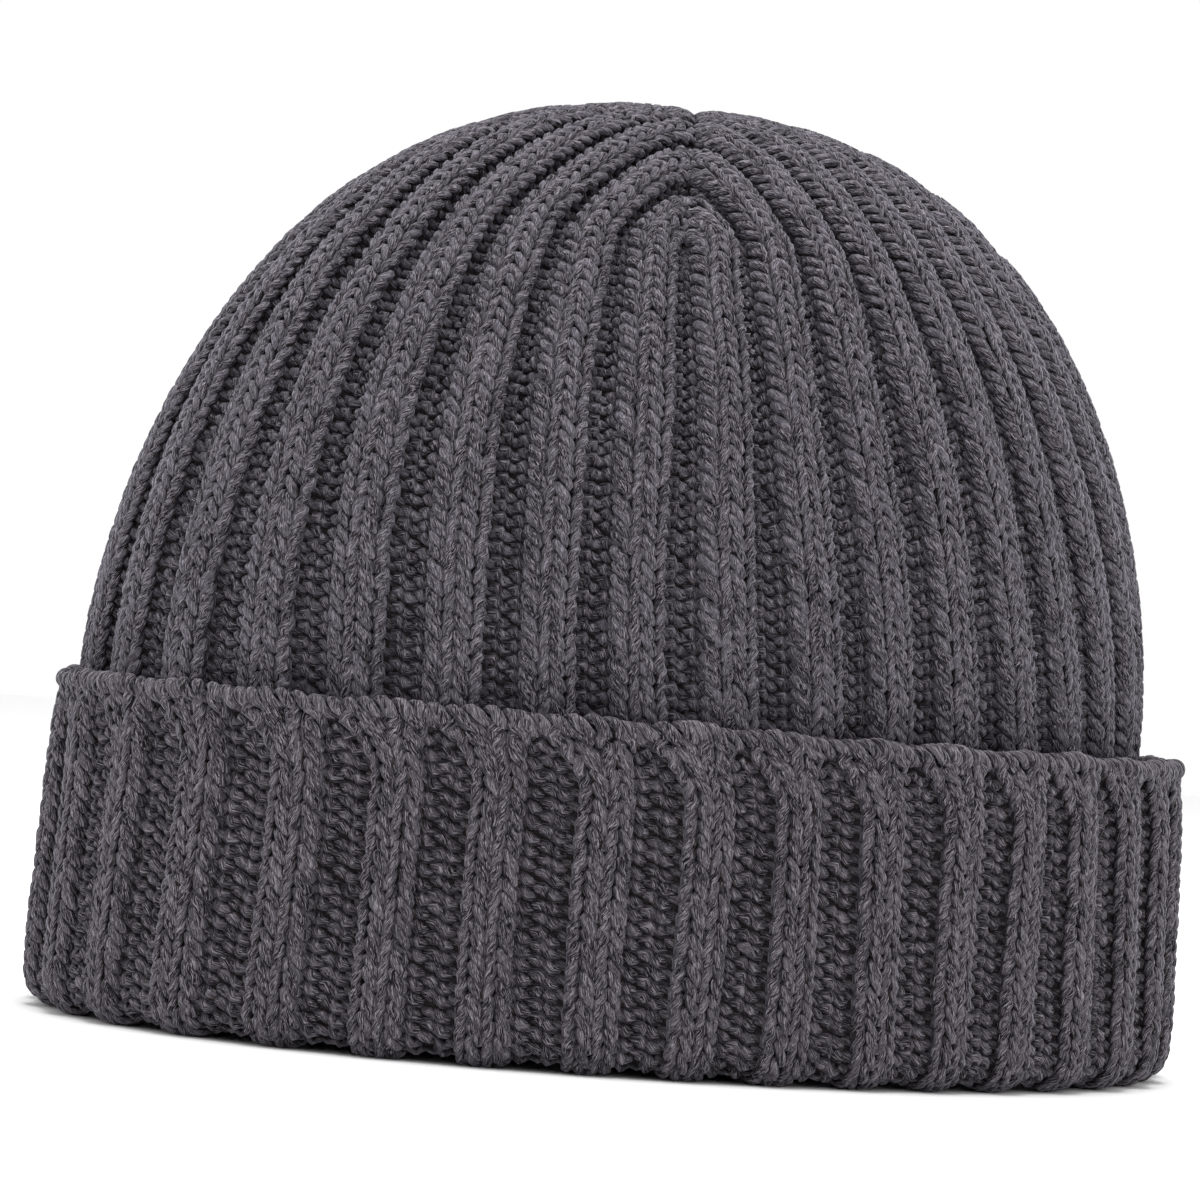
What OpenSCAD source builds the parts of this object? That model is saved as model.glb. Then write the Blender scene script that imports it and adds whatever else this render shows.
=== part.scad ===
// Rib-knit beanie with a turned-up cuff, as worn: its plan is the oval of a head.
// Frame: origin at the centre of the rim, where the hat stands. +Z is up to the crown,
// -Y is the wearer's front and +X the wearer's left. Lengths are in millimetres.

/* [Cuff] */
// Front-to-back length over the cuff's fold
cuff_long = 222; // [200:1:240]
// Side-to-side width over the cuff's fold
cuff_wide = 174; // [156:1:190]
// Height of the turned-up cuff, over its cast-on edge
cuff_h = 57; // [45:1:75]
// How much further out the fold stands than the cuff's top, on each side
cuff_flare = 2; // [1:0.5:3]
// Thickness of the cuff's outer layer
cuff_t = 5.2; // [4:0.1:6]
// Height of the braided cast-on edge
edge_h = 3.5; // [2.5:0.1:5]
// How far the cast-on edge stands out of the cuff
edge_out = 0.8; // [0.4:0.1:1.5]
// Height of the rounded fold at the rim
fold_h = 6; // [5:0.5:9]

/* [Body] */
// Height of the whole hat as it stands
hat_h = 161.5; // [150:0.5:190]
// Thickness of the body's single layer
body_t = 4.6; // [3.5:0.1:5.5]
// Clear space between the body and the top of the cuff
layer_gap = 0.8; // [0.6:0.1:1.5]
// Squareness of the dome's rise: 2 is an ellipse, less is more pointed
dome_rise = 1.85; // [1.5:0.05:2.2]
// Flatness of the dome's top: 2 is an ellipse, more is flatter
dome_top = 2.45; // [2:0.05:3]

/* [Crown seams] */
// Ribs around the hat
ribs = 36; // [28:4:44]
// Rib on which the front-left dart lies, counted from the front
dart_rib = 5; // [3:1:6]
// Size of the crown's oval where the darts begin, as a share of the body's
dart_start = 0.68; // [0.4:0.02:0.76]
// Radius of a sewn seam's ridge
seam_r = 1.5; // [1:0.1:2]
// Radius of the stitched disc that closes the crown
closing_r = 8; // [7:0.5:10]

/* [Care label] */
// Width of the folded label
label_w = 26; // [18:1:32]
// Length of the folded label below its stitches
label_l = 36; // [24:1:40]
// Thickness of the folded label
label_t = 1.2; // [0.8:0.1:1.6]
// Height of the label's top edge above the rim
label_top = 48; // [44:0.5:54]

/* [Hidden] */

around = 72;          // points around each oval
sides = 8;            // points around a seam's ridge
sew_in = 0.4;         // how deep a sewn seam sits in the fabric
slack = 0.5;          // space between the body's lower end and the fold
edge_round = 1.2;     // rounding of the cast-on edge
dome_step = 7.5;      // degrees between the rings of the dome
dart_end = 87.5;      // dome angle at which the darts run into the closing stitches
seam_break = 1.5;     // dome angle left free between the wall's seam and its dart

// Semi-axes [across, along] of the ovals, worked inward from the fold.
fold_out = [cuff_wide / 2, cuff_long / 2];
cuff_top_out = inset(fold_out, cuff_flare);
body_out = inset(cuff_top_out, cuff_t + layer_gap);
body_in = inset(body_out, body_t);
fold_deep = fold_out[0] - body_in[0];
dome_h = hat_h - cuff_h;
body_low = fold_h + slack;

knit_colour = [0.29, 0.28, 0.30];
cuff_colour = [0.27, 0.26, 0.28];
seam_colour = [0.22, 0.21, 0.23];
label_colour = [0.86, 0.85, 0.82];

// ---- Ovals ----

function inset(axes, d) = [axes[0] - d, axes[1] - d];

// Ellipse point at a parameter angle, counted from the front towards the wearer's left.
function oval_point(axes, angle) = [axes[0] * sin(angle), -axes[1] * cos(angle)];

function ring(axes, z) =
    [for (i = [0 : around - 1]) concat(oval_point(axes, 360 * i / around), z)];

// Parameter angles that cut the oval into equal lengths, found by adding up short chords.
arc_steps = 720;
function chord(i) = norm(oval_point(body_out, 360 * i / arc_steps)
                         - oval_point(body_out, 360 * (i - 1) / arc_steps));
arc = [for (i = 0, sum = 0; i <= arc_steps; i = i + 1, sum = sum + chord(i)) sum];
function rib_angle(rib) = 360 / arc_steps
    * len([for (length = arc) if (length < rib / ribs * arc[arc_steps]) 1]);

// ---- Dome ----

// Height above the cuff and size of the oval, at an angle from 0 at the cuff to 90 at the top.
function dome_z(angle) = sin(angle);
function dome_size(angle) = pow(1 - pow(sin(angle), dome_rise), 1 / dome_top);
function dome_axes(axes, angle) = axes * dome_size(angle);
dome_angles = [for (a = [0 : dome_step : 90 - dome_step]) a];
dart_angle = asin(pow(1 - pow(dart_start, dome_top), 1 / dome_rise));

// Point on the body's inner face, sunk so that a seam's ridge sits sew_in deep in it.
function seam_point(angle, rib, depth) =
    concat(oval_point(inset(dome_axes(body_in, angle), depth * dome_size(angle)), rib_angle(rib)),
           cuff_h + (dome_h - body_t - depth * (1 - dome_size(angle))) * dome_z(angle));

// ---- Builders ----

// Solid between rings that close on themselves, like a tyre.
module ring_solid(rings) {
    n = len(rings);
    polyhedron(
        points = [for (r = rings) each r],
        faces = [for (k = [0 : n - 1], i = [0 : around - 1])
            let (a = k * around, b = (k + 1) % n * around, j = (i + 1) % around)
            each [[a + i, b + i, b + j], [a + i, b + j, a + j]]]);
}

// Solid with rings from its outer top round its mouth to its inner top, closed by two points.
module dome_solid(rings, outer_tip, inner_tip) {
    n = len(rings);
    last = n * around;
    polyhedron(
        points = concat([for (r = rings) each r], [outer_tip, inner_tip]),
        faces = concat(
            [for (i = [0 : around - 1]) [i, (i + 1) % around, last]],
            [for (k = [0 : n - 2], i = [0 : around - 1])
                let (a = k * around, b = a + around, j = (i + 1) % around)
                each [[a + i, b + i, b + j], [a + i, b + j, a + j]]],
            [for (i = [0 : around - 1])
                [last - around + i, last + 1, last - around + (i + 1) % around]]));
}

// Round ridge along a path in the upright plane that holds side (a unit vector).
module ridge(path, side) {
    n = len(path);
    function along(k) = let (d = path[min(k + 1, n - 1)] - path[max(k - 1, 0)]) d / norm(d);
    points = [for (k = [0 : n - 1], i = [0 : sides - 1])
        let (across = cross(side, along(k)), a = 360 * i / sides)
        path[k] + seam_r * (cos(a) * side + sin(a) * across)];
    polyhedron(
        points = points,
        faces = concat(
            [[for (i = [sides - 1 : -1 : 0]) i]],
            [for (k = [0 : n - 2], i = [0 : sides - 1])
                let (a = k * sides, b = a + sides, j = (i + 1) % sides)
                [a + i, a + j, b + j, b + i]],
            [[for (i = [0 : sides - 1]) (n - 1) * sides + i]]));
}

// Unit vector along the wall, square to the way out at this rib.
function wall_side(rib) =
    let (p = oval_point(body_in, rib_angle(rib))) [-p[1], p[0], 0] / norm(p);

// ---- Sub-parts ----

// The rounded top of the hat: one knitted layer, closed by four darts.
module crown() {
    rising = [for (a = dome_angles)
        ring(dome_axes(body_out, a), cuff_h + dome_h * dome_z(a))];
    lining = [for (a = dome_angles)
        ring(dome_axes(body_in, a), cuff_h + (dome_h - body_t) * dome_z(a))];
    last = len(dome_angles) - 1;
    color(knit_colour)
        dome_solid(
            concat([for (k = [last : -1 : 0]) rising[k]], lining),
            [0, 0, hat_h], [0, 0, hat_h - body_t]);
}

// The upright part of the body inside the cuff, from the fold to the foot of the crown.
module knit_wall() {
    color(knit_colour)
        ring_solid([ring(body_out, cuff_h), ring(body_out, body_low),
                    ring(body_in, body_low), ring(body_in, cuff_h)]);
}

// The layer folded up outside the body, from the fold to the cast-on edge.
module turn_up_cuff() {
    top = cuff_h - edge_h;
    color(cuff_colour)
        ring_solid([ring(cuff_top_out, top), ring(fold_out, fold_h),
                    ring(inset(fold_out, cuff_t), fold_h), ring(inset(cuff_top_out, cuff_t), top)]);
}

// The braided first row of the knitting, now the cuff's top edge.
module cast_on_edge() {
    base = cuff_h - edge_h;
    out = inset(cuff_top_out, -edge_out);
    color(cuff_colour)
        ring_solid([ring(inset(out, edge_round), cuff_h), ring(out, cuff_h - edge_round),
                    ring(out, base + edge_round), ring(cuff_top_out, base),
                    ring(inset(cuff_top_out, cuff_t), base),
                    ring(inset(cuff_top_out, cuff_t), cuff_h - edge_round),
                    ring(inset(cuff_top_out, cuff_t - edge_round), cuff_h)]);
}

// The rounded turn at the rim, which the hat stands on: a trough with two legs.
module cuff_fold() {
    land = fold_deep / 4;
    middle = fold_deep / 2;
    legs = [[0, 0], [0.1, 0.55], [0.5, 0.9]];
    outer_face = [for (p = legs) ring(inset(fold_out, p[0] * (middle - land)), fold_h * (1 - p[1]))];
    inner_face = [for (k = [len(legs) - 1 : -1 : 0])
        ring(inset(fold_out, fold_deep - legs[k][0] * (middle - land)), fold_h * (1 - legs[k][1]))];
    trough = [ring(inset(fold_out, fold_deep - body_t), fold_h),
              ring(inset(fold_out, (cuff_t + fold_deep - body_t) / 2), fold_h * 0.7),
              ring(inset(fold_out, cuff_t), fold_h)];
    color(cuff_colour)
        ring_solid(concat(outer_face,
                          [ring(inset(fold_out, middle - land), 0),
                           ring(inset(fold_out, middle + land), 0)],
                          inner_face, trough));
}

// The ridge inside the crown where one dart is sewn shut.
module dart_seam(rib) {
    depth = seam_r - sew_in;
    rings = 11;
    color(seam_colour)
        ridge([for (k = [0 : rings]) seam_point(dart_angle + (dart_end - dart_angle) * k / rings,
                                                rib, depth)], wall_side(rib));
}

// The upright seam that closes the knitting into a tube, below the back-right dart.
module wall_seam() {
    rib = dart_rib + ribs / 2;
    depth = seam_r - sew_in;
    upright = [for (z = [body_low + seam_r, cuff_h / 2])
        concat(oval_point(inset(body_in, depth), rib_angle(rib)), z)];
    rings = 10;
    curved = [for (k = [0 : rings]) seam_point((dart_angle - seam_break) * k / rings, rib, depth)];
    color(seam_colour) ridge(concat(upright, curved), wall_side(rib));
}

// The gathered stitches that close the crown where the darts meet.
module crown_closing_stitch() {
    color(seam_colour)
        translate([0, 0, hat_h - body_t - seam_r]) cylinder(r = closing_r, h = seam_r + sew_in, $fn = 48);
}

// The folded label hangs flat inside the back, clear of the curved wall.
label_y = body_in[1] * sqrt(1 - pow(label_w / 2 / body_in[0], 2)) - slack - label_t / 2;
module care_label() {
    color(label_colour)
        translate([-label_w / 2, label_y - label_t / 2, label_top - label_l])
            cube([label_w, label_t, label_l]);
}

// The row of stitches that holds the label's top edge to the body.
module label_stitches() {
    clear = 1;
    height = 2;
    color(seam_colour)
        translate([-label_w / 2, label_y - label_t / 2, label_top + clear])
            cube([label_w, body_in[1] + sew_in - label_y + label_t / 2, height]);
}

crown();
knit_wall();
turn_up_cuff();
cast_on_edge();
cuff_fold();
dart_seam(dart_rib);  // dart_seam_front_left
dart_seam(dart_rib + ribs / 4);  // dart_seam_back_left
dart_seam(dart_rib + ribs / 2);  // dart_seam_back_right
dart_seam(dart_rib + 3 * ribs / 4);  // dart_seam_front_right
wall_seam();
crown_closing_stitch();
care_label();
label_stitches();
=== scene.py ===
"""Rib-knit beanie: every stitch is a loop of yarn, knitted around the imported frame.

Lengths are in millimetres until a mesh is made, and MM turns them into metres.
Two numbers place a point on the fabric: its wale, counted around the hat, and its course,
counted from the cast-on edge down the cuff, round the fold and up to the crown.
"""

import bpy
import numpy as np
from mathutils import Matrix, Vector


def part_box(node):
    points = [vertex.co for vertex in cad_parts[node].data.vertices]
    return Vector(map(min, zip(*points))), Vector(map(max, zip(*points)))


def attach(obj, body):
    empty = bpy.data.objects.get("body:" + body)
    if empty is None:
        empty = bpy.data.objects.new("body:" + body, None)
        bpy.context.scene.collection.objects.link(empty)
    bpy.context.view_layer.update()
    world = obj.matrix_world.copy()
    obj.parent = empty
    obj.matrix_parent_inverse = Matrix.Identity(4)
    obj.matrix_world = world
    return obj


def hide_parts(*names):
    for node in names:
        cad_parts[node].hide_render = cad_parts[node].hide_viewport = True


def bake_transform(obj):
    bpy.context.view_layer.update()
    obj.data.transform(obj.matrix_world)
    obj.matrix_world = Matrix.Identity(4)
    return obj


MM = 0.001

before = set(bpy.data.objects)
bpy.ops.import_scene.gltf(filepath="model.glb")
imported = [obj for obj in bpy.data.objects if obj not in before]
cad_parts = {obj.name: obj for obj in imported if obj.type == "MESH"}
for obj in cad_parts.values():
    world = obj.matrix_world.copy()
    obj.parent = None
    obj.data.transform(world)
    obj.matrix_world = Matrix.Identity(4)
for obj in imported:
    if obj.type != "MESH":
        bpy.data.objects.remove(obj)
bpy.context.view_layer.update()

# ---- Sizes read from the frame ----


def node_box(name):
    """Lowest and highest corner of a CAD node, in millimetres."""
    low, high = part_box(name)
    return np.array(low) / MM, np.array(high) / MM


FOLD_OUT = node_box("cuff_fold")[1][:2]
CUFF_H = node_box("cast_on_edge")[1][2]
BODY_OUT = node_box("knit_wall")[1][:2]
HAT_H = node_box("crown")[1][2]
LABEL_LOW, LABEL_HIGH = node_box("care_label")
STITCH_LOW, STITCH_HIGH = node_box("label_stitches")
CLOSING_LOW, CLOSING_HIGH = node_box("crown_closing_stitch")
LABEL_HALF = LABEL_HIGH[0]

# ---- The knitting ----

RIBS = 36
WALES = 4 * RIBS
DARTS = 4
DART_RIB = 5           # the front-left dart's place, counted in ribs from the front
DART_START = 0.68      # the dome's size where the darts start, as a share of the wall's
DOME_RISE = 1.85       # the two powers that shape the dome
DOME_TOP = 2.45
COURSE = 2.27          # height of one course
SKIN = 2.5             # from the fabric's middle to its rib crests
FOLD_SKIN = 1.9        # the same at the fold, where the ribs are pulled flat
EDGE_COURSES = 5.0     # courses over which the ribs close in an arch at the cast-on edge
EDGE_TIP = 1.4         # course at which the grooves end in the arch's top
EDGE_LEAN = 0.22       # how far the ribs lean there, in ribs
SLOUCH = (-2.3, 1.0)   # sideways lean of the body at the cuff's top and at the crown
SLOUCH_TURN = np.pi / 4
CROWDED = 0.06         # how much closer the ribs stand at the front-left and back-right darts
BIAS = (0.62, 0.22)    # how far round the ribs have crept at the cuff, in ribs: on average,
                       # and how much more or less on either side
BIAS_FROM = 2          # courses above the darts' start from which they creep
BIAS_POWER = 1.2       # how gently the creep sets in
DART_ROUND = 2.2       # courses by which a rib's tip is rounded off at a dart
DART_REACH = 4.0       # distance from the dart over which it rounds, in millimetres
DART_DIP = (0.4, 0.6)  # how much the ribs shrink and sink where a dart is sewn
DART_SUNK = 1.6        # distance from the dart over which they sink, in millimetres
CUFF_SHARE = 0.55      # share of a rib's pitch taken by its face wales, in the cuff
BODY_SHARE = 0.53      # in the body
CROWN_SHARE = 0.13     # and how much more at the top of the crown
SHARE_EASE = 12        # courses over which the share changes after the fold
RIB_EDGE = 0.13        # width of a rib's flank, in ribs
CROWN_RIB = 0.3        # how much higher the ribs stand at the top of the crown
EDGE_RIB = 0.35        # share of their height that the ribs have at the cast-on edge
CREST = 0.25           # how far a rib's crest is rounded
FOLD_FLAT = 0.6        # how much of their height the ribs lose on the fold
WANDER = 0.06          # how far the ribs wander sideways, in ribs
TWO_PI = 2 * np.pi

CUFF_MID = FOLD_OUT - SKIN
CUFF_FLARE = 2.0       # how much narrower the cuff is at its edge than at its fold
BODY_MID = BODY_OUT - SKIN
EDGE_DROP = 1.6        # from the top of the cast-on edge down to the first course
CUFF_POINTS, FOLD_POINTS, WALL_POINTS, DOME_POINTS = 40, 24, 40, 240
FOLD_R = (FOLD_OUT[0] - BODY_OUT[0]) / 2
DOME_H = HAT_H - CUFF_H - SKIN


def profile():
    """The fabric's middle from the cast-on edge to the crown: rows of across, along, height."""
    rows = []
    top = CUFF_H - EDGE_DROP
    low = FOLD_SKIN + FOLD_R
    for k in range(CUFF_POINTS + 1):
        z = top + (low - top) * k / CUFF_POINTS
        out = CUFF_MID - CUFF_FLARE * (z - low) / (top - low)
        rows.append([out[0], out[1], z])
    for k in range(1, FOLD_POINTS):
        a = np.pi * k / FOLD_POINTS
        inward = FOLD_R * (1 - np.cos(a))
        rows.append([CUFF_MID[0] - inward, CUFF_MID[1] - inward, low - FOLD_R * np.sin(a)])
    for k in range(WALL_POINTS + 1):
        z = low + (CUFF_H - low) * k / WALL_POINTS
        rows.append([BODY_MID[0], BODY_MID[1], z])
    for a in np.radians(np.linspace(0, 90, DOME_POINTS + 1)[1:]):
        size = max(1 - np.sin(a) ** DOME_RISE, 0) ** (1 / DOME_TOP)
        rows.append([BODY_MID[0] * size, BODY_MID[1] * size, CUFF_H + DOME_H * np.sin(a)])
    return np.array(rows)


PROFILE = profile()
_mean = PROFILE[:, :2].mean(axis=1)
_along = np.r_[0, np.cumsum(np.hypot(np.diff(_mean), np.diff(PROFILE[:, 2])))]
COURSES = int(round(_along[-1] / COURSE))
COURSE = _along[-1] / COURSES
_course = _along / COURSE
FOLD_START = _course[CUFF_POINTS]
FOLD_END = _course[CUFF_POINTS + FOLD_POINTS]
DOME_AT = CUFF_POINTS + FOLD_POINTS + WALL_POINTS
WALL_END = _course[DOME_AT]
_size = PROFILE[:, 0] / BODY_MID[0]
DART_COURSE = float(np.interp(-DART_START, -_size[DOME_AT:], _course[DOME_AT:]))


def oval_table():
    """Ellipse parameter against share of the way round, so that ribs are evenly spaced."""
    a = np.linspace(0, TWO_PI, 2881)
    x, y = BODY_MID[0] * np.sin(a), -BODY_MID[1] * np.cos(a)
    s = np.r_[0, np.cumsum(np.hypot(np.diff(x), np.diff(y)))]
    return s / s[-1], a


OVAL_SHARE, OVAL_ANGLE = oval_table()


def smooth(x):
    x = np.clip(x, 0, 1)
    return x * x * (3 - 2 * x)


def wander(w, c, seed, scale_w, scale_c):
    """Slow, repeatable unevenness of the hand of the fabric, between -1 and 1."""
    a = TWO_PI * w / WALES
    return (np.sin(a * scale_w + c * scale_c + seed)
            + np.sin(a * (scale_w + 3) - c * scale_c * 1.7 + 2.1 * seed)
            + np.sin(a * (scale_w * 2 + 1) + c * scale_c * 0.6 + 3.7 * seed)) / 3


def knit_share(c):
    """Share of a rib's pitch taken by its two face wales."""
    size = np.interp(c, _course, _size)
    tight = np.clip((1 - size) / (1 - DART_START), 0, 1)
    body = BODY_SHARE + CROWN_SHARE * tight
    up = np.clip((c - EDGE_TIP) / (EDGE_COURSES - EDGE_TIP), 0, 1)
    arch = 0.2 + 0.8 * np.sqrt(1 - (1 - up) ** 2)
    return (CUFF_SHARE + (body - CUFF_SHARE) * smooth((c - FOLD_END) / SHARE_EASE)) * arch


def rib_phase(w, c):
    """Place around the hat in ribs, with the face wales and the reverse wales unequal."""
    rib = np.floor(w / 4)
    u = w / 4 - rib
    k = knit_share(c)
    x = np.where(u < 0.5, u * 2 * k, k + (u - 0.5) * 2 * (1 - k))
    return rib + x - k / 2 + 0.5


def remaining(c):
    """Share of each crown section's wales that its darts leave at this course."""
    size = np.interp(c, _course, _size)
    return np.where(c > DART_COURSE, np.clip(size / DART_START, 0, 1), 1.0)


def surface(pos, c):
    """Point of the smooth surface at a place around the hat, in ribs, and a course."""
    turn = TWO_PI * (pos - DART_RIB) / RIBS
    top = DART_COURSE + BIAS_FROM
    down = np.clip((top - c) / (top - WALL_END), 0, 1) ** BIAS_POWER
    pos = pos - CROWDED * RIBS / (2 * TWO_PI) * np.sin(2 * turn)
    pos = pos + down * (BIAS[0] + BIAS[1] * np.sin(turn))
    angle = np.interp((pos / RIBS) % 1.0, OVAL_SHARE, OVAL_ANGLE)
    ax = np.interp(c, _course, PROFILE[:, 0])
    ay = np.interp(c, _course, PROFILE[:, 1])
    z = np.interp(c, _course, PROFILE[:, 2])
    lean = np.where(c > (FOLD_START + FOLD_END) / 2,
                    np.interp(z, (SKIN, CUFF_H, HAT_H), (0, *SLOUCH)), 0)
    return np.stack([ax * np.sin(angle) + lean * np.cos(SLOUCH_TURN),
                     -ay * np.cos(angle) + lean * np.sin(SLOUCH_TURN), z], axis=-1)


def place(w, c):
    """Point of the smooth surface, without the ribs' relief, at a wale and a course."""
    pos = rib_phase(w, c)
    steady = smooth((DART_COURSE - 4 - c) / 10)
    pos = pos + WANDER * steady * wander(w, c, 1.3, 5, 0.11)
    pos = pos - EDGE_LEAN * smooth((EDGE_COURSES - c) / EDGE_COURSES)
    quarter = RIBS / DARTS
    section = np.floor((pos - DART_RIB) / quarter)
    middle = DART_RIB + (section + 0.5) * quarter
    left = np.maximum(remaining(c), 1e-3)
    pos = middle + np.clip((pos - middle) / left, -quarter / 2, quarter / 2)
    near = smooth((c - DART_COURSE + 4) / 8) * smooth((COURSES - c) / 8)
    return surface(pos, c - DART_ROUND * near * np.exp(-dart_gap(w, c) / DART_REACH))


def relief(w, c):
    """Height of the ribs over the fabric's middle, towards its face."""
    pos = rib_phase(w, c)
    k = knit_share(c)
    t = np.abs(pos % 1.0 - 0.5)
    edge = np.clip((k / 2 - t) / RIB_EDGE, -1, 1)
    plateau = np.sin(edge * np.pi / 2)
    size = np.interp(c, _course, _size)
    tight = np.clip((1 - size) / (1 - DART_START), 0, 1) * (c > WALL_END)
    high = (1 + CROWN_RIB * tight) * (EDGE_RIB + (1 - EDGE_RIB) * smooth(c / EDGE_COURSES))
    crest = CREST * np.clip(1 - (t / (k / 2)) ** 2, -1, 1)
    fold = np.exp(-((c - (FOLD_START + FOLD_END) / 2) / (0.7 * (FOLD_END - FOLD_START))) ** 2)
    return (high * plateau + crest) * (1 - FOLD_FLAT * fold)


def dart_gap(w, c):
    """Distance to the nearest dart along the course, in millimetres."""
    pos = rib_phase(w, c)
    quarter = RIBS / DARTS
    section = np.floor((pos - DART_RIB) / quarter)
    middle = DART_RIB + (section + 0.5) * quarter
    left = remaining(c)
    size = np.interp(c, _course, _size)
    pitch = TWO_PI * BODY_MID.mean() * size / (RIBS * np.maximum(left, 1e-3))
    return np.maximum(quarter / 2 * left - np.abs(pos - middle), 0) * pitch


def normal_at(f, w, c):
    """Unit normal of a surface f(w, c), towards the fabric's face."""
    step = 0.02
    along = f(w + step, c) - f(w - step, c)
    up = f(w, c + step) - f(w, c - step)
    n = np.cross(along, up)
    return n / np.maximum(np.linalg.norm(n, axis=-1, keepdims=True), 1e-9)


def height(w, c):
    """Height of the ribs, which sink a little where a dart is sewn."""
    dip = smooth((c - DART_COURSE + 4) / 6) * np.exp(-(dart_gap(w, c) / DART_SUNK) ** 2)
    return relief(w, c) * (1 - DART_DIP[0] * dip) - DART_DIP[1] * dip


def fabric(w, c):
    """The fabric's middle with its ribs."""
    base = place(w, c)
    n = normal_at(place, w, c)
    return base + n * height(w, c)[..., None]


# ---- Yarn ----

SPREAD = (0.25, 0.14)  # how far a loop's shoulders widen on face and reverse wales, in wales
REACH = (0.90, 1.25)   # half a loop's height on face and reverse wales, in courses
LEAN = 0.11            # how far a face loop's head leans to one side, in wales
TILT = 0.20            # how far a reverse loop's head tilts, in courses
DEPTH = 0.80           # how far legs and heads stand from the fabric's middle
DIVE = 0.25            # how sharply a head dives beside its top
OVERLAP = 0.12         # how far a face leg's foot lies over the head that it passes
YARN_FLAT = 0.72       # the yarn's radius through the fabric
HEAD = 0.90            # its radius along the fabric at a loop's head
LEG = 0.212            # and at a loop's leg, in wales
PLUMP = 0.14           # how much fuller the yarn is where it shows than where it is held
# The proud measure sets only the painted shade in the yarn's colour.
SHADE_RELIEF = 0.25    # how much of the ribs' height counts as standing proud
STRAY = (0.03, 0.08)   # how unevenly the loops lie, in wales and in courses
THICK_THIN = 0.08      # how unevenly thick the yarn is
STEPS = 14    # rings of yarn per wale
SIDES = 6      # corners of a ring
HIDDEN_STEPS, HIDDEN_SIDES = 8, 5    # the same for the wall behind the cuff
rng = np.random.default_rng(7)
UNEVEN = rng.normal(0, 1, (3, COURSES + 4, WALES + 1))


def uneven(kind, row, tau):
    """Small random number of each stitch, eased from one stitch to the next."""
    i = np.floor(tau).astype(int)
    f = smooth(tau - i)
    table = UNEVEN[kind, int(row) % UNEVEN.shape[1]]
    return table[i % WALES] * (1 - f) + table[(i + 1) % WALES] * f


def face_sign(tau):
    """+1 on face wales, -1 on reverse wales, easing through 0 where the yarn crosses."""
    u = tau % 4.0
    a = smooth((u + 0.3) / 0.6) - smooth((u - 1.7) / 0.6) + smooth((u - 3.7) / 0.6)
    return 2 * a - 1


def loop_line(row, tau):
    """One course of loops: wale, course, depth and fullness of its yarn."""
    t = TWO_PI * (tau - np.floor(tau)) - np.pi
    sign = face_sign(tau)
    turned = row < (FOLD_START + FOLD_END) / 2
    shown = -sign if turned else sign
    hand = 1 if turned else -1
    spread, reach = ((a + b) / 2 + shown * (a - b) / 2 for a, b in (SPREAD, REACH))
    lean = hand * LEAN * (1 + shown) / 2
    tilt = hand * TILT * (1 - shown) / 2
    w = tau + spread * np.sin(2 * t) + lean * np.cos(t) + STRAY[0] * uneven(0, row, tau)
    c = row + reach * np.cos(t) + tilt * np.sin(2 * t) + STRAY[1] * uneven(1, row, tau)
    z = -shown * DEPTH * (np.cos(2 * t) - DIVE * (1 - np.cos(4 * t)))
    z = z - OVERLAP * (1 + shown) / 2 * np.cos(t)
    plump = 1 - PLUMP * shown * np.cos(2 * t)
    return w, c, -z if turned else z, plump


def sweep(points, normals, wide, flat, level, sides):
    """Tube along points, its rings turned to the normals, and how proud each vertex stands.

    A vertex on either side of the fabric is proud when it is far out on that side; where it is not
    proud, the yarn's colour is painted darker as shade.
    """
    t = np.gradient(points, axis=0)
    t /= np.maximum(np.linalg.norm(t, axis=1, keepdims=True), 1e-9)
    b = np.cross(t, normals)
    b /= np.maximum(np.linalg.norm(b, axis=1, keepdims=True), 1e-9)
    n = np.cross(b, t)
    a = TWO_PI * np.arange(sides) / sides
    ring = (np.cos(a)[None, :, None] * b[:, None, :] * wide[:, None, None]
            + np.sin(a)[None, :, None] * n[:, None, :] * flat[:, None, None])
    out = np.sin(a)[None, :]
    proud = out * (level[:, None] + out * flat[:, None])
    return points[:, None, :] + ring, proud


def run_length(p):
    return np.r_[0, np.cumsum(np.linalg.norm(np.diff(p, axis=0), axis=1))]


def yarn_course(row, tau, sides):
    """Rings of yarn for one stretch of a course, how proud they stand, and the yarn's length."""
    w, c, z, plump = loop_line(row, tau)
    c = np.clip(c, 0.02, COURSES - 0.02)
    n = normal_at(fabric, w, c)
    p = fabric(w, c) + n * z[:, None]
    t = np.gradient(p, axis=0)
    t /= np.maximum(np.linalg.norm(t, axis=1, keepdims=True), 1e-9)
    across = fabric(w + 0.5, c) - fabric(w - 0.5, c)
    wale = np.clip(np.linalg.norm(across, axis=1), 2.2, 6.0)
    across /= np.maximum(np.linalg.norm(across, axis=1, keepdims=True), 1e-9)
    upright = 1 - np.clip((t * across).sum(axis=1) ** 2, 0, 1)
    thick = plump * (1 + THICK_THIN * uneven(2, row, tau))
    wide = (upright * LEG * wale + (1 - upright) * HEAD) * thick
    level = SHADE_RELIEF * height(w, c) + z
    rings, proud = sweep(p, n, wide, YARN_FLAT * thick, level, sides)
    return rings, proud, run_length(p)


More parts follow.
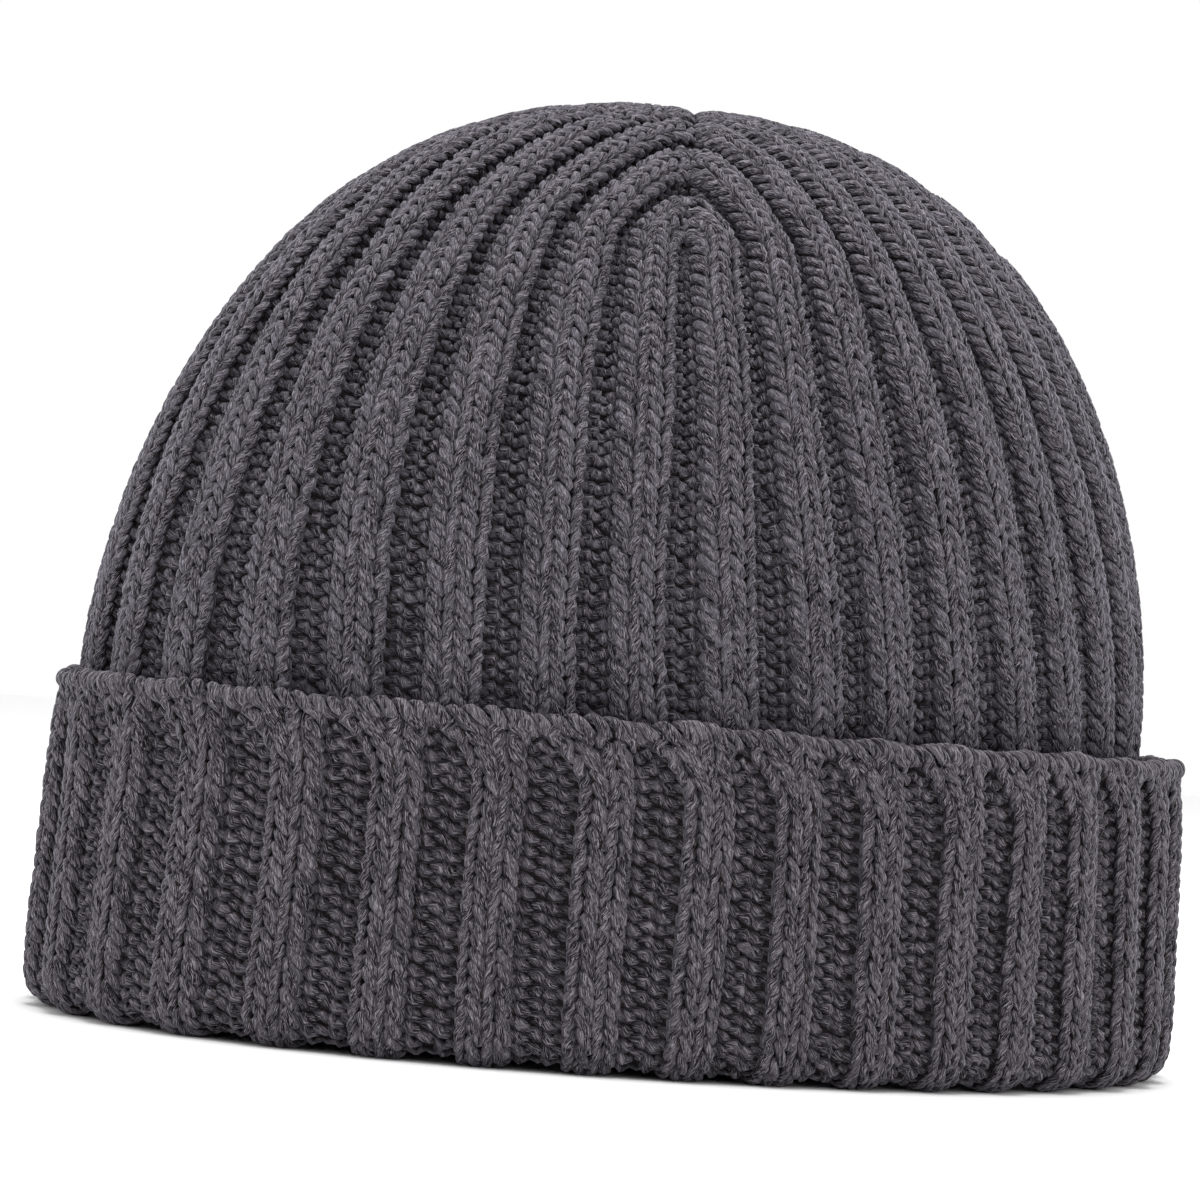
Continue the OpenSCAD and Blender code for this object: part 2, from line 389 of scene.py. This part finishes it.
class Mesh:
    """Collects tubes and patches into one mesh with its yarn coordinates."""

    def __init__(self):
        self.points, self.quads, self.caps, self.uv, self.proud = [], [], [], [], []
        self.count = 0

    def tube(self, rings, proud, length, start=0.0):
        """Add a capped tube whose yarn pattern begins at start."""
        n, sides = rings.shape[:2]
        base = self.count
        self.points.append(rings.reshape(-1, 3))
        self.proud.append(proud.reshape(-1))
        self.count += n * sides
        i = np.arange(n - 1)[:, None] * sides
        j = np.arange(sides)[None, :]
        k = (j + 1) % sides
        corners = np.stack([i + j, i + k, i + sides + k, i + sides + j], -1)
        self.quads.append(base + corners.reshape(-1, 4))
        v0 = np.broadcast_to(j / sides, (n - 1, sides))
        v1 = v0 + 1 / sides
        u0 = np.broadcast_to(length[:-1, None] + start, (n - 1, sides))
        u1 = np.broadcast_to(length[1:, None] + start, (n - 1, sides))
        self.uv.append(np.stack([u0, v0, u0, v1, u1, v1, u1, v0], -1).reshape(-1, 4, 2))
        self.caps.append(base + np.arange(sides)[::-1])
        self.caps.append(base + (n - 1) * sides + np.arange(sides))

    def build(self, name, material):
        points = np.concatenate(self.points) * MM
        quads = np.concatenate(self.quads)
        uv = np.concatenate(self.uv).reshape(-1, 2)
        loops = np.concatenate([quads.reshape(-1)] + self.caps)
        cap_starts = np.r_[0, np.cumsum([len(cap) for cap in self.caps])[:-1]]
        starts = np.concatenate([np.arange(len(quads)) * 4,
                                 len(quads) * 4 + cap_starts]).astype(np.int32)
        mesh = bpy.data.meshes.new(name)
        mesh.vertices.add(len(points))
        mesh.vertices.foreach_set("co", points.astype(np.float32).ravel())
        mesh.loops.add(len(loops))
        mesh.loops.foreach_set("vertex_index", loops.astype(np.int32))
        mesh.polygons.add(len(starts))
        mesh.polygons.foreach_set("loop_start", starts)
        mesh.polygons.foreach_set("use_smooth", np.ones(len(starts), bool))
        mesh.update(calc_edges=True)
        layer = mesh.uv_layers.new(name="yarn")
        flat = np.zeros((len(loops), 2), np.float32)
        flat[:len(uv)] = uv
        layer.data.foreach_set("uv", flat.ravel())
        # The proud attribute carries the painted shade that the yarn material mixes into its
        # colour.
        proud = mesh.attributes.new("proud", "FLOAT", "POINT")
        proud.data.foreach_set("value", np.concatenate(self.proud).astype(np.float32))
        mesh.validate()
        piece = bpy.data.objects.new(name, mesh)
        bpy.context.scene.collection.objects.link(piece)
        piece.data.materials.append(material)
        return piece


def section_range(section, row):
    """First and last wale of a crown section that its darts leave at this course."""
    quarter = WALES / DARTS
    middle = 4 * DART_RIB - 1 + (section + 0.5) * quarter
    half = quarter / 2 * float(remaining(np.array(min(row, COURSES))))
    return middle - half, middle + half


def knit(name, section, rows, steps, sides, material):
    """A panel of knitting: the given courses over one quarter of the hat."""
    mesh = Mesh()
    for row in rows:
        first, last = section_range(section, row)
        if last - first < 1:
            continue
        count = max(int((last - first) * steps), 3)
        # One step more at each end turns the end rings the way the next section's are turned.
        step = (last - first) / count
        tau = np.linspace(first - step, last + step, count + 3)
        rings, proud, length = yarn_course(row, tau, sides)
        mesh.tube(rings[1:-1], proud[1:-1], length[1:-1], 137.0 * row + 53.0 * section)
    return mesh.build(name, material)


# ---- Ropes, seams and cloth ----

ROPE_RADIUS = 1.15     # of the winding along the cast-on edge
ROPE_OUT = 0.7         # its distance from the middle of the cuff's layer
ROPE_PLIES = 2         # strands wound side by side
EDGE_OUT = 0.45        # how far the ribs push the edge outward
EDGE_RISE = 0.35       # and half of how far it sinks between them
ROPE_TURNS = WALES * 0.75    # turns of each strand round the whole edge
ROPE_YARN = (1.02, 0.78)    # the yarn's radius along the winding and through it
SEAM_RADIUS = 0.9      # of the winding along a seam
SEAM_DEPTH = 3.2       # its distance inward from the fabric's middle
SEAM_PITCH = 2.6       # length of seam for one turn
SEAM_YARN = (0.8, 0.6)    # its yarn's radius along the winding and through it
SEAM_LEAD = 2.5        # courses by which a dart's seam starts below the dart
LOOSE = (0.14, 0.4)    # how unevenly a winding's radius and turn run
CLOTH_COLUMNS = 108    # per quarter of the hat
CLOTH_RELIEF = 0.85    # share of the ribs' height that the cloth behind them follows
CLOTH_T = 0.4          # its thickness
WALE = TWO_PI * np.hypot(*BODY_MID) / np.sqrt(2) / WALES


def wind(path, outward, radius, turns, wide, flat, steps, sides, start=0.0):
    """Yarn wound round a path, as along a cast-on edge or a sewn seam."""
    n = int(turns * steps)
    s = run_length(path)
    u = np.linspace(0, s[-1], n + 1)
    core = np.stack([np.interp(u, s, path[:, k]) for k in range(3)], -1)
    out = np.stack([np.interp(u, s, outward[:, k]) for k in range(3)], -1)
    along = np.gradient(core, axis=0)
    along /= np.linalg.norm(along, axis=1, keepdims=True)
    up = np.cross(out, along)
    up /= np.linalg.norm(up, axis=1, keepdims=True)
    out = np.cross(along, up)
    phase = TWO_PI * turns * u / s[-1] + start
    turn = np.arange(UNEVEN[0].size)
    loose = 1 + LOOSE[0] * np.interp(phase / TWO_PI, turn, UNEVEN[0].ravel())
    phase = phase + LOOSE[1] * np.interp(phase / TWO_PI, turn, UNEVEN[1].ravel())
    spoke = up * np.cos(phase)[:, None] + out * np.sin(phase)[:, None]
    points = core + spoke * (radius * loose)[:, None]
    # Painted shade: the winding's side towards its core is set less proud, so its colour is painted
    # darker there.
    level = 1.2 + 0.9 * np.sin(phase)
    rings, proud = sweep(points, spoke, wide * loose, np.full(n + 1, flat), level, sides)
    return rings, np.broadcast_to(level[:, None], proud.shape), run_length(points)


def unit(v):
    return v / np.maximum(np.linalg.norm(v, axis=-1, keepdims=True), 1e-9)


def smooth_normal(pos, c):
    """Unit normal of the smooth surface, towards the fabric's face."""
    step = 0.05
    return unit(np.cross(surface(pos + step, c) - surface(pos - step, c),
                         surface(pos, c + step) - surface(pos, c - step)))


def cast_on_rope(name, material):
    """The cast-on edge: yarn wound along the top of the cuff."""
    pos = np.linspace(0, RIBS, 1441)
    c = np.full_like(pos, 0.3)
    outward = -smooth_normal(pos, c)
    path = surface(pos, c) + outward * ROPE_OUT
    rib = np.cos(TWO_PI * (pos + EDGE_LEAN))
    path += outward * (EDGE_OUT * rib)[:, None]
    path[:, 2] = CUFF_H - ROPE_RADIUS - ROPE_YARN[1] + 0.25 * wander(4 * pos, c, 2.0, 7, 0.0)
    path[:, 2] += EDGE_RISE * (rib - 1)
    mesh = Mesh()
    for k in range(ROPE_PLIES):
        rings, proud, length = wind(path, outward, ROPE_RADIUS, ROPE_TURNS, *ROPE_YARN,
                                    2 * STEPS, SIDES, start=TWO_PI * k / ROPE_PLIES)
        mesh.tube(rings, proud, length, 41.0 * k)
    return mesh.build(name, material)


def seam(name, pos, first, last, material):
    """A sewn ridge inside the hat: yarn wound along the line where two edges meet."""
    c = np.linspace(first, last, 80)
    pos = np.full_like(c, pos)
    inward = -smooth_normal(pos, c)
    path = surface(pos, c) + inward * SEAM_DEPTH
    turns = run_length(path)[-1] / SEAM_PITCH
    rings, proud, length = wind(path, inward, SEAM_RADIUS, turns, *SEAM_YARN, 10, SIDES)
    mesh = Mesh()
    mesh.tube(rings, proud, length)
    return mesh.build(name, material)


def grid_shell(name, sheets, material):
    """Closed thin shells, each from two equal grids of points: its face and its back."""
    points, faces, base = [], [], 0
    for face, back in sheets:
        rows, cols = face.shape[:2]
        count = rows * cols
        points += [face.reshape(-1, 3), back.reshape(-1, 3)]
        k = np.arange(count).reshape(rows, cols)
        quad = np.stack([k[:-1, :-1], k[:-1, 1:], k[1:, 1:], k[1:, :-1]], -1).reshape(-1, 4)
        rim = np.concatenate([k[0, :], k[1:, -1], k[-1, -2::-1], k[-2:0:-1, 0]])
        nxt = np.roll(rim, -1)
        side = np.stack([nxt, rim, rim + count, nxt + count], -1)
        faces += [quad + base, quad[:, ::-1] + base + count, side + base]
        base += 2 * count
    mesh = bpy.data.meshes.new(name)
    mesh.from_pydata((np.concatenate(points) * MM).tolist(), [], np.concatenate(faces).tolist())
    mesh.polygons.foreach_set("use_smooth", np.ones(len(mesh.polygons), bool))
    mesh.validate()
    mesh.materials.append(material)
    piece = bpy.data.objects.new(name, mesh)
    bpy.context.scene.collection.objects.link(piece)
    return piece


def cloth(name, first, last, material):
    """A thin sheet behind the loops, following the fabric, whose near-black colour paints the shade
    between them, and the area that it was knitted to.
    """
    sheets, area = [], 0.0
    courses = np.linspace(first, last, int(last - first) + 2)
    for q in range(DARTS):
        spans = np.array([section_range(q, c) for c in courses])
        share = np.linspace(0, 1, CLOTH_COLUMNS + 1)
        w = spans[:, :1] + (spans[:, 1:] - spans[:, :1]) * share
        c = np.repeat(courses[:, None], CLOTH_COLUMNS + 1, axis=1)
        n = normal_at(place, w, c)
        middle = place(w, c) + n * (CLOTH_RELIEF * height(w, c))[..., None]
        sheets.append((middle + n * CLOTH_T / 2, middle - n * CLOTH_T / 2))
        width = (spans[:, 1] - spans[:, 0]) * WALE * MM
        area += float(width.mean() * (last - first) * COURSE * MM)
    return grid_shell(name, sheets, material), area


# ---- Materials ----

YARN_TWIST = 0.07      # turns of the fibres round the yarn in one millimetre
FIBRE_STRETCH = 0.30   # how fast the fibres' pattern changes along it


class Graph:
    """Short calls for the shader nodes of one material."""

    def __init__(self, name):
        self.material = bpy.data.materials.new(name)
        self.material.use_nodes = True
        self.nodes = self.material.node_tree.nodes
        self.links = self.material.node_tree.links
        self.shader = self.nodes["Principled BSDF"]

    def put(self, socket, value):
        if isinstance(value, (int, float, tuple)):
            socket.default_value = value
        else:
            self.links.new(value, socket)

    def math(self, kind, *values):
        node = self.nodes.new("ShaderNodeMath")
        node.operation = kind
        for socket, value in zip(node.inputs, values):
            self.put(socket, value)
        return node.outputs[0]

    def vector(self, x, y, z):
        node = self.nodes.new("ShaderNodeCombineXYZ")
        for socket, value in zip(node.inputs, (x, y, z)):
            self.put(socket, value)
        return node.outputs[0]

    def noise(self, vector, scale, detail, rough, seed):
        node = self.nodes.new("ShaderNodeTexNoise")
        node.noise_dimensions = "4D"
        for key, value in (("Vector", vector), ("W", seed), ("Scale", scale),
                           ("Detail", detail), ("Roughness", rough)):
            self.put(node.inputs[key], value)
        return node.outputs["Fac"]

    def spread(self, value, low, high, out_low=0.0, out_high=1.0, smoothly=True):
        node = self.nodes.new("ShaderNodeMapRange")
        node.interpolation_type = "SMOOTHSTEP" if smoothly else "LINEAR"
        for key, v in (("Value", value), ("From Min", low), ("From Max", high),
                       ("To Min", out_low), ("To Max", out_high)):
            self.put(node.inputs[key], v)
        return node.outputs["Result"]

    def mix(self, factor, a, b):
        node = self.nodes.new("ShaderNodeMix")
        node.data_type = "RGBA"
        self.put(node.inputs[0], factor)
        self.put(node.inputs[6], a)
        self.put(node.inputs[7], b)
        return node.outputs[2]

    def bump(self, heightmap, strength, distance):
        node = self.nodes.new("ShaderNodeBump")
        node.inputs["Strength"].default_value = strength
        node.inputs["Distance"].default_value = distance * MM
        self.links.new(heightmap, node.inputs["Height"])
        self.links.new(node.outputs["Normal"], self.shader.inputs["Normal"])

    def attribute(self, name):
        node = self.nodes.new("ShaderNodeAttribute")
        node.attribute_name = name
        return node.outputs["Fac"]


def yarn_material(name, deep, dark, light, fleck, seed):
    """Soft spun yarn: slanting fibres, pale flecks, and painted shade, darker where the yarn lies
    low between the stitches.
    """
    g = Graph(name)
    uv = g.nodes.new("ShaderNodeUVMap")
    uv.uv_map = "yarn"
    split = g.nodes.new("ShaderNodeSeparateXYZ")
    g.links.new(uv.outputs["UV"], split.inputs[0])
    length, turn = split.outputs[0], split.outputs[1]
    # Fibres lie along the yarn and turn slowly round it; the two plies turn with them.
    twisted = g.math("ADD", turn, g.math("MULTIPLY", length, YARN_TWIST))
    angle = g.math("MULTIPLY", twisted, TWO_PI)
    along = g.math("MULTIPLY", length, FIBRE_STRETCH)
    cosine, sine = g.math("COSINE", angle), g.math("SINE", angle)
    fine = g.vector(along, g.math("MULTIPLY", cosine, 2.6), g.math("MULTIPLY", sine, 2.6))
    fibre = g.noise(fine, 1.9, 2.0, 0.6, seed)
    hair = g.noise(fine, 4.5, 1.0, 0.5, seed + 3.0)
    mottle = g.noise(fine, 0.22, 2.0, 0.5, seed + 7.0)
    streak = g.math("ADD", g.math("MULTIPLY", fibre, 0.62), g.math("MULTIPLY", mottle, 0.38))
    colour = g.mix(g.spread(streak, 0.45, 0.56), dark, light)
    colour = g.mix(g.spread(hair, 0.55, 0.61, 0.0, 0.85), colour, fleck)
    # Painted shade: the deep colour is mixed in where the proud attribute is low, darkening the
    # yarn between the stitches and in the grooves.
    colour = g.mix(g.spread(g.attribute("proud"), -0.2, 1.2), deep, colour)
    g.put(g.shader.inputs["Base Color"], colour)
    ply = g.math("MULTIPLY", g.math("COSINE", g.math("MULTIPLY", angle, 2.0)), 0.22)
    g.bump(g.math("ADD", fibre, ply), 0.6, 0.24)
    g.shader.inputs["Roughness"].default_value = 0.9
    g.shader.inputs["Specular IOR Level"].default_value = 0.12
    g.shader.inputs["Sheen Weight"].default_value = 0.31
    g.shader.inputs["Sheen Roughness"].default_value = 0.24
    g.shader.inputs["Sheen Tint"].default_value = (0.78, 0.77, 0.90, 1)
    return g.material


def shade_sheet_material(name, dark, light):
    """Painted shade between the loops: a near-black sheet with a little noise and bump."""
    g = Graph(name)
    coord = g.nodes.new("ShaderNodeTexCoord")
    fuzz = g.noise(coord.outputs["Object"], 2600.0, 2.0, 0.6, 4.0)
    g.put(g.shader.inputs["Base Color"], g.mix(g.spread(fuzz, 0.3, 0.7), dark, light))
    g.bump(fuzz, 0.6, 0.3)
    g.shader.inputs["Roughness"].default_value = 1.0
    g.shader.inputs["Specular IOR Level"].default_value = 0.05
    return g.material


def satin_material(name, colour, shade):
    """Woven label ribbon: a fine crosswise weave and firmer selvedges."""
    g = Graph(name)
    coord = g.nodes.new("ShaderNodeTexCoord")
    split = g.nodes.new("ShaderNodeSeparateXYZ")
    g.links.new(coord.outputs["Object"], split.inputs[0])
    across, up = split.outputs[0], split.outputs[2]
    weft = g.math("SINE", g.math("MULTIPLY", up, TWO_PI / (0.35 * MM)))
    warp = g.math("SINE", g.math("MULTIPLY", across, TWO_PI / (0.28 * MM)))
    weave = g.math("ADD", g.math("MULTIPLY", weft, 0.6), g.math("MULTIPLY", warp, 0.4))
    selvedge = g.spread(g.math("ABSOLUTE", across), LABEL_HALF * MM - 1.6 * MM,
                        LABEL_HALF * MM - 1.2 * MM)
    tone = g.math("ADD", g.spread(weave, -1.0, 1.0, 0.0, 0.35, False),
                  g.math("MULTIPLY", selvedge, 0.5))
    g.put(g.shader.inputs["Base Color"], g.mix(tone, colour, shade))
    g.bump(g.math("ADD", weave, g.math("MULTIPLY", selvedge, 3.0)), 0.35, 0.05)
    g.shader.inputs["Roughness"].default_value = 0.42
    g.shader.inputs["Sheen Weight"].default_value = 0.2
    return g.material


# Painted shade: the near-black, warm colour laid on the yarn where it lies low between the stitches
# and in the grooves.
PAINTED_SHADE = (0.0050, 0.0039, 0.0042, 1)
BODY_YARN = yarn_material("body_yarn", PAINTED_SHADE, (0.0067, 0.0057, 0.0070, 1),
                          (0.0800, 0.0735, 0.0890, 1), (0.31, 0.285, 0.325, 1), 1.0)
# Painted shade: the same yarn as the body's, made a little darker and warmer on the cuff, which
# stands in less light.
CUFF_YARN = yarn_material("cuff_yarn", PAINTED_SHADE, (0.0064, 0.0055, 0.0066, 1),
                          (0.0745, 0.0680, 0.0802, 1), (0.29, 0.265, 0.298, 1), 2.0)
SEAM_YARN_LOOK = yarn_material("seam_yarn", PAINTED_SHADE, (0.0065, 0.0056, 0.0067, 1),
                               (0.074, 0.0655, 0.0775, 1), (0.24, 0.22, 0.25, 1), 5.0)
# Painted shade: the near-black colours of the sheet that fills the gaps between the loops.
SHADE_SHEET = shade_sheet_material("painted_shade_sheet", (0.006, 0.0050, 0.0051, 1), (0.022, 0.0190, 0.0195, 1))
SATIN = satin_material("label_satin", (0.74, 0.73, 0.70, 1), (0.55, 0.54, 0.52, 1))

# ---- Pieces ----

CROWN_ROW = int(WALL_END) - 2      # the first course that belongs to the crown
UPPER_ROW = int(WALL_END) + 28     # and the first of the crown's upper half
CUFF_ROWS = range(1, int(FOLD_END))
WALL_ROWS = range(int(FOLD_END), CROWN_ROW)
LOW_ROWS = range(CROWN_ROW, UPPER_ROW)
TOP_ROWS = range(UPPER_ROW, COURSES)
CLOTH_EDGE = 0.3       # course at which the cuff's cloth starts
RIBBON_GAP = 0.32      # from the label's middle to the middle of each layer
RIBBON_T = 0.22        # its thickness
LABEL_MID = (LABEL_LOW[1] + LABEL_HIGH[1]) / 2


def label():
    """A ribbon folded in half, its fold hanging down."""
    low, high = LABEL_LOW[2], LABEL_HIGH[2]
    bend = low + RIBBON_GAP + RIBBON_T
    drop = np.linspace(high, bend, 28)
    path = [(-RIBBON_GAP, z) for z in drop]
    path += [(-RIBBON_GAP * np.cos(a), bend - RIBBON_GAP * np.sin(a))
             for a in np.linspace(0, np.pi, 9)[1:]]
    path += [(RIBBON_GAP, z) for z in drop[::-1][1:]]
    path = np.array(path)
    side = unit(np.gradient(path, axis=0))
    side = np.stack([-side[:, 1], side[:, 0]], -1)
    x = np.linspace(-LABEL_HALF, LABEL_HALF, 23)
    layers = []
    for sign in (1, -1):
        line = path + sign * side * RIBBON_T / 2
        y, z = line[:, :1], line[:, 1:]
        wave = 0.10 * np.sin(z / 6.0 + x / 5.0) * smooth((high - z) / 10)
        y = LABEL_MID + y + wave
        layers.append(np.stack([np.broadcast_to(x, y.shape), y, np.broadcast_to(z, y.shape)], -1))
    return grid_shell("care_label_ribbon", [tuple(layers)], SATIN)


def label_header():
    """The ribbon's ends above its hinge line, sewn to the hat."""
    x = np.linspace(-LABEL_HALF, LABEL_HALF, 23)
    z = np.linspace(LABEL_HIGH[2] + 0.05, STITCH_HIGH[2] + 0.8, 8)[:, None]
    sheets = []
    for offset in (-RIBBON_GAP, RIBBON_GAP):
        y = LABEL_MID + offset + 0 * x * z
        grid = np.stack([x + 0 * z, y, z + 0 * x], -1)
        shift = np.array([0, RIBBON_T / 2, 0])
        sheets.append((grid - shift, grid + shift))
    return grid_shell("label_header", sheets, SATIN)


def label_thread():
    """Short stitches through the header and into the knitting."""
    mesh = Mesh()
    z = (STITCH_LOW[2] + STITCH_HIGH[2]) / 2
    near = LABEL_LOW[1] - 0.12
    deep = STITCH_HIGH[1] - 0.3
    a = np.linspace(0, np.pi, 13)
    span = 0.75
    radius = np.full(len(a), 0.28)
    for x in np.linspace(-LABEL_HALF + 1.4, LABEL_HALF - 1.4, 11):
        y = np.where(np.sin(a) > 0.5, near, near + (deep - near) * (1 - np.sin(a) / 0.5))
        path = np.stack([x - span * np.cos(a), y, z + 0 * a], -1)
        out = np.tile([0.0, -1.0, 0.0], (len(a), 1))
        rings, proud = sweep(path, out + 1e-3, radius, radius, np.full(len(a), 1.5), 8)
        mesh.tube(rings, proud, run_length(path))
    return mesh.build("label_thread", SEAM_YARN_LOOK)


def closing_stitches():
    """Gathering stitches drawn together where the darts meet, inside the crown."""
    mesh = Mesh()
    radius = CLOSING_HIGH[0] - 1.2
    z = (CLOSING_LOW[2] + CLOSING_HIGH[2]) / 2
    spokes = 16
    for k in range(spokes):
        a = TWO_PI * k / spokes
        r = np.linspace(0.3, radius, 14)
        swirl = a + 0.5 * (1 - r / radius)
        lift = z + 0.35 * np.sin(np.pi * r / radius) * (1 if k % 2 else -1)
        path = np.stack([r * np.cos(swirl), r * np.sin(swirl), lift], -1)
        down = np.tile([0.0, 0.0, -1.0], (len(r), 1))
        wide = 0.35 + 0.75 * r / radius
        rings, proud = sweep(path, down, wide, np.full(len(r), 0.7), np.ones(len(r)), SIDES + 2)
        mesh.tube(rings, proud, run_length(path), 31.0 * k)
    a = np.linspace(0, TWO_PI, 121)
    circle = np.stack([radius * np.cos(a), radius * np.sin(a), z + 0 * a], -1)
    down = np.tile([0.0, 0.0, -1.0], (len(a), 1))
    rings, proud, length = wind(circle, down, 0.6, 18, 0.7, 0.55, 10, SIDES)
    mesh.tube(rings, proud, length)
    return mesh.build("crown_closing_yarn", SEAM_YARN_LOOK)


cuff_pieces, wall_pieces, crown_pieces = [], [], []
for q in range(DARTS):
    cuff_pieces.append(knit(f"cuff_knit_{q + 1}", q, CUFF_ROWS, STEPS, SIDES, CUFF_YARN))
    wall_pieces.append(knit(f"wall_knit_{q + 1}", q, WALL_ROWS, HIDDEN_STEPS, HIDDEN_SIDES,
                            BODY_YARN))
    for part, rows in (("lower", LOW_ROWS), ("upper", TOP_ROWS)):
        crown_pieces.append(knit(f"crown_knit_{part}_{q + 1}", q, rows, STEPS, SIDES, BODY_YARN))
rope = cast_on_rope("cast_on_rope", CUFF_YARN)

# These sheets carry painted shade, standing in for the shade between the loops.
cuff_cloth, _ = cloth("cuff_cloth", CLOTH_EDGE, FOLD_END, SHADE_SHEET)
wall_cloth, _ = cloth("wall_cloth", FOLD_END, WALL_END - 2, SHADE_SHEET)
crown_cloth, crown_area = cloth("crown_cloth", WALL_END - 2, COURSES - 0.6, SHADE_SHEET)

for piece in [cuff_cloth, rope] + cuff_pieces:
    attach(piece, "cuff")
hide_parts("turn_up_cuff", "cuff_fold")
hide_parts("cast_on_edge")

for piece in [crown_cloth] + crown_pieces:
    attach(piece, "body")
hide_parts("crown")

wall_seam = seam("wall_seam_yarn", DART_RIB + RIBS / 2, FOLD_END + 1, DART_COURSE - 1,
                 SEAM_YARN_LOOK)
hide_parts("wall_seam")
for piece in [wall_cloth, wall_seam] + wall_pieces:
    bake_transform(piece)
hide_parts("knit_wall")

DART_NAMES = ("front_left", "back_left", "back_right", "front_right")
for k, where in enumerate(DART_NAMES):
    piece = seam(f"dart_seam_yarn_{where}", DART_RIB + k * RIBS / DARTS, DART_COURSE - SEAM_LEAD,
                 COURSES - 4, SEAM_YARN_LOOK)
    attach(piece, "body")
    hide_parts(f"dart_seam_{where}")

closing = closing_stitches()
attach(closing, "body")
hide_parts("crown_closing_stitch")

ribbon = label()
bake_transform(ribbon)
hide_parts("care_label")

header = label_header()
thread = label_thread()
for piece, slot in ((header, "label_satin"), (thread, "seam_yarn")):
    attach(piece, "body")
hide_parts("label_stitches")

# ---- Studio ----

EYE_AZIMUTH = np.radians(45.0)
EYE_DISTANCE = 0.98    # from the hat's axis, in metres
EYE_HEIGHT = 0.064
TARGET_LEFT = 0.0078   # how far left of the axis the camera looks
TARGET_HEIGHT = 0.0759
EYE_ROLL = np.radians(4.93)
LENS = 169             # focal length, in millimetres, for a sensor 36 mm wide
FLOOR_HALF = 3.0


def floor_material():
    g = Graph("floor")
    g.shader.inputs["Base Color"].default_value = (0.93, 0.93, 0.93, 1)
    g.shader.inputs["Roughness"].default_value = 0.7
    return g.material


def studio():
    mesh = bpy.data.meshes.new("floor")
    half = FLOOR_HALF
    mesh.from_pydata([(-half, -half, 0), (half, -half, 0), (half, half, 0), (-half, half, 0)],
                     [], [(0, 1, 2, 3)])
    floor = bpy.data.objects.new("floor", mesh)
    mesh.materials.append(floor_material())
    bpy.context.scene.collection.objects.link(floor)
    world = bpy.data.worlds.new("studio")
    bpy.context.scene.world = world
    world.use_nodes = True
    world.node_tree.nodes["Background"].inputs["Color"].default_value = (1, 1, 1, 1)
    world.node_tree.nodes["Background"].inputs["Strength"].default_value = 1.0
    bpy.context.scene.view_settings.view_transform = "Standard"


def area_light(name, where, target, size, power):
    light = bpy.data.lights.new(name, "AREA")
    light.shape = "DISK"
    light.size = size
    light.energy = power
    lamp = bpy.data.objects.new(name, light)
    lamp.location = where
    aim(lamp, target)
    bpy.context.scene.collection.objects.link(lamp)


def aim(thing, target, roll=0.0):
    gaze = Vector(target) - Vector(thing.location)
    thing.rotation_euler = (gaze.to_track_quat("-Z", "Y").to_matrix().to_4x4()
                            @ Matrix.Rotation(roll, 4, "Z")).to_euler()


def camera():
    target = (-TARGET_LEFT * np.cos(EYE_AZIMUTH), -TARGET_LEFT * np.sin(EYE_AZIMUTH), TARGET_HEIGHT)
    data = bpy.data.cameras.new("camera")
    data.sensor_width = 36
    data.lens = LENS
    eye = bpy.data.objects.new("camera", data)
    eye.location = (EYE_DISTANCE * np.sin(EYE_AZIMUTH), -EYE_DISTANCE * np.cos(EYE_AZIMUTH),
                    EYE_HEIGHT)
    aim(eye, target, EYE_ROLL)
    bpy.context.scene.collection.objects.link(eye)
    bpy.context.scene.camera = eye


studio()
area_light("key", (-0.06, 0.06, 1.6), (0, 0, 0.1), 1.0, 28)
camera()
